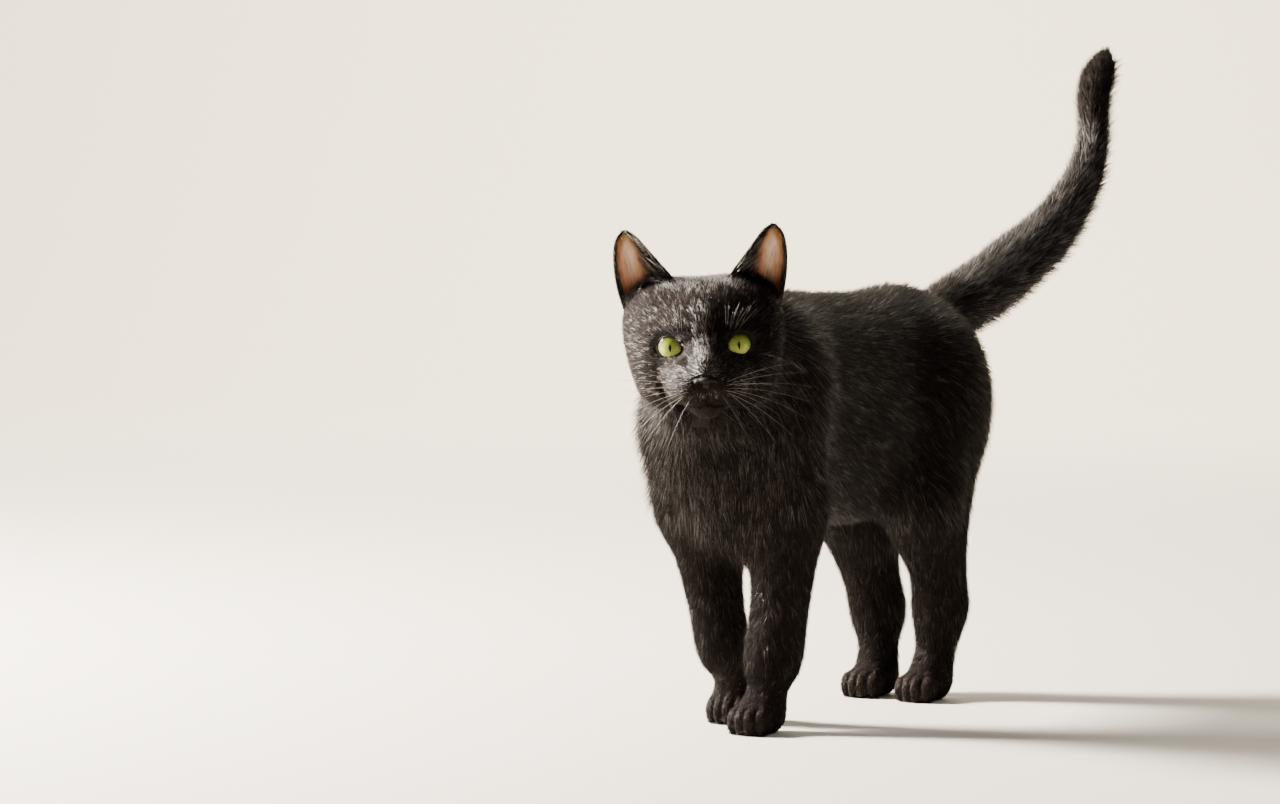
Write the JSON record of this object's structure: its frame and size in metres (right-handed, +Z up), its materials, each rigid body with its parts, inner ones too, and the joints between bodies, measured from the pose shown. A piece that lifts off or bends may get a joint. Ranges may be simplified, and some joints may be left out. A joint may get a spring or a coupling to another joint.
{
  "type": "cat figure",
  "caption": "Life-size figure of a standing short-haired cat with pricked ears, whiskers and a raised tail, its head turned to one side.",
  "frame": {"origin": "on the floor, in the middle of the cat's extent along X and Y", "axes": "+Z up, -Y the way the body faces, +X its left side"},
  "size_m": [0.1483, 0.5834, 0.3921],
  "materials": {
    "coat": "short sleek black fur",
    "ear": "thin skin, bare inside and furred outside",
    "nose": "fine-grained black nose leather",
    "eye": "polished glass with a yellow-green iris"
  },
  "bodies": {
    "root": {"chest": "coat", "belly": "coat", "rump": "coat", "neck": "coat", "foreleg_right": "coat", "forepaw_right": "coat", "thigh_right": "coat", "shank_right": "coat", "hindpaw_right": "coat", "foreleg_left": "coat", "forepaw_left": "coat", "thigh_left": "coat", "shank_left": "coat", "hindpaw_left": "coat", "tail_base": "coat", "tail_middle": "coat", "tail_tip": "coat", "head": "coat", "muzzle": "coat", "nose": "nose", "ear_right": "ear", "eye_right": "eye", "ear_left": "ear", "eye_left": "eye"}
  },
  "joints": []
}
